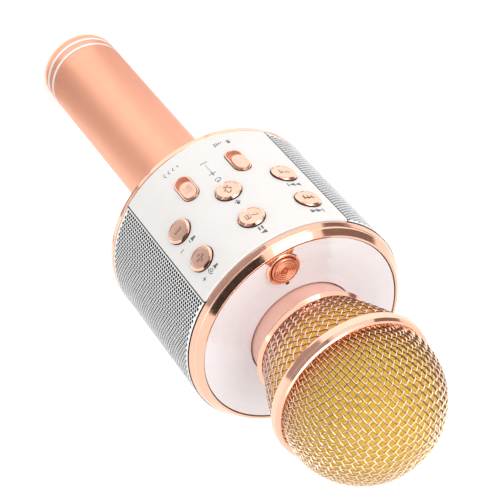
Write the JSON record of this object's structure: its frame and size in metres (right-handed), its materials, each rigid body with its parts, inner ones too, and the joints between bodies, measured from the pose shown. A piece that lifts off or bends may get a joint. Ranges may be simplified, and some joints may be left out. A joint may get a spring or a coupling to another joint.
{
  "type": "karaoke microphone",
  "caption": "Handheld karaoke microphone: a round handle, a wide speaker drum with buttons and sliders, and a wire-mesh head over a foam windscreen.",
  "frame": {"origin": "centre of the flat tail face, on the axis of the handle", "axes": "+Z from the tail to the head along the handle axis; the control panel faces -Y; +X is the side of the volume buttons"},
  "size_m": [0.0796, 0.0813, 0.2449],
  "materials": {
    "rose_satin_metal": "satin anodised rose gold",
    "rose_plating": "mirror rose-gold plating on plastic",
    "pale_plating": "polished pale plating",
    "copper_plating": "copper plating, circular brushed",
    "white_panel": "fine satin moulded plastic",
    "white_gloss": "high gloss",
    "white_grille": "white painted perforated sheet",
    "peach_satin": "satin peach metallic",
    "mesh_wire": "plated woven wire",
    "yellow_foam": "open-cell foam",
    "black_plastic": "moulded",
    "steel": "bright steel",
    "board_green": "solder mask on board",
    "cone_paper": "black paper cone with rubber surround",
    "cell_wrap": "shrink-wrapped cell",
    "lead_red": "insulated lead",
    "clear_plastic": "clear light pipe"
  },
  "bodies": {
    "body": {"handle_tube": "rose_satin_metal", "tail_ring_upper": "pale_plating", "battery_cell": "cell_wrap", "battery_sleeve": "black_plastic", "battery_contact": "steel", "drum_lower_ring": "rose_plating", "drum_upper_ring": "rose_plating", "top_dish": "white_gloss", "drum_bottom_cover": "white_gloss", "front_panel": "white_panel", "rear_panel": "white_panel", "left_grille": "white_grille", "right_grille": "white_grille", "charge_port": "steel", "audio_jack": "black_plastic", "card_slot": "black_plastic", "drum_chassis": "black_plastic", "speaker_basket_left": "steel", "speaker_basket_right": "steel", "speaker_cone_left": "cone_paper", "speaker_cone_right": "cone_paper", "key_board_centre": "board_green", "key_board_left": "board_green", "key_board_right": "board_green", "power_board": "board_green", "main_board": "board_green", "echo_pot": "steel", "mic_volume_pot": "steel", "echo_tray": "rose_plating", "mic_volume_tray": "rose_plating", "power_bezel": "rose_plating", "light_pipe": "clear_plastic", "neck_collar": "peach_satin", "capsule_mount": "black_plastic", "mic_capsule": "steel", "battery_lead": "lead_red", "capsule_lead": "lead_red", "cover_screw_1": "steel", "cover_screw_2": "steel", "cover_screw_3": "steel", "cover_screw_4": "steel"},
    "windscreen": {"foam_windscreen": "yellow_foam"},
    "head": {"head_thread_ring": "rose_plating", "lower_basket": "mesh_wire", "head_band": "rose_plating", "upper_dome": "mesh_wire"},
    "contact_spring": {"battery_spring": "steel"},
    "tail_cap": {"tail_cap": "rose_satin_metal", "tail_ring_lower": "pale_plating"},
    "power_button": {"power_button": "copper_plating"},
    "echo_knob": {"echo_knob": "rose_plating"},
    "mic_volume_knob": {"mic_volume_knob": "rose_plating"},
    "volume_down_button": {"volume_down_button": "rose_plating"},
    "volume_up_button": {"volume_up_button": "rose_plating"},
    "mic_replay_button": {"mic_replay_button": "rose_plating"},
    "play_pause_button": {"play_pause_button": "rose_plating"},
    "next_track_button": {"next_track_button": "rose_plating"},
    "previous_track_button": {"previous_track_button": "rose_plating"}
  },
  "joints": [
    {"name": "volume_down_press", "type": "slide", "parent": "body", "child": "volume_down_button", "axis": [-0.4925, 0.8703, 0], "range_m": [0, 0.0007], "stiffness_N_per_m": 1500, "springref_m": -0.0003},
    {"name": "volume_up_press", "type": "slide", "parent": "body", "child": "volume_up_button", "axis": [-0.4925, 0.8703, 0], "range_m": [0, 0.0007], "stiffness_N_per_m": 1500, "springref_m": -0.0003},
    {"name": "mic_replay_press", "type": "slide", "parent": "body", "child": "mic_replay_button", "axis": [0, 1, 0], "range_m": [0, 0.0007], "stiffness_N_per_m": 1500, "springref_m": -0.0003},
    {"name": "play_pause_press", "type": "slide", "parent": "body", "child": "play_pause_button", "axis": [0, 1, 0], "range_m": [0, 0.0007], "stiffness_N_per_m": 1500, "springref_m": -0.0003},
    {"name": "next_track_press", "type": "slide", "parent": "body", "child": "next_track_button", "axis": [0.4925, 0.8703, 0], "range_m": [0, 0.0007], "stiffness_N_per_m": 1500, "springref_m": -0.0003},
    {"name": "previous_track_press", "type": "slide", "parent": "body", "child": "previous_track_button", "axis": [0.4925, 0.8703, 0], "range_m": [0, 0.0007], "stiffness_N_per_m": 1500, "springref_m": -0.0003},
    {"name": "power_press", "type": "slide", "parent": "body", "child": "power_button", "axis": [0, 0, -1], "range_m": [0, 0.0007], "stiffness_N_per_m": 1500, "springref_m": -0.0003},
    {"name": "echo_slide", "type": "slide", "parent": "body", "child": "echo_knob", "axis": [0, 0, 1], "range_m": [-0.0037, 0]},
    {"name": "mic_volume_slide", "type": "slide", "parent": "body", "child": "mic_volume_knob", "axis": [0, 0, 1], "range_m": [-0.0037, 0]},
    {"name": "head_rise", "type": "slide", "parent": "body", "child": "windscreen", "axis": [0, 0, 1], "range_m": [0, 0.0075]},
    {"name": "head_turn", "type": "hinge", "parent": "windscreen", "child": "head", "pos_m": [0, 0, 0.189], "axis": [0, 0, 1], "range_deg": [0, 1800]},
    {"name": "spring_drop", "type": "slide", "parent": "body", "child": "contact_spring", "axis": [0, 0, -1], "range_m": [0, 0.006]},
    {"name": "cap_turn", "type": "hinge", "parent": "contact_spring", "child": "tail_cap", "pos_m": [0, 0, 0.01], "axis": [0, 0, -1], "range_deg": [0, 1440]}
  ],
  "couplings": [
    {"joint": "head_turn", "follows": "head_rise", "rad_per_m": 4188.7},
    {"joint": "cap_turn", "follows": "spring_drop", "rad_per_m": 4188.7}
  ]
}
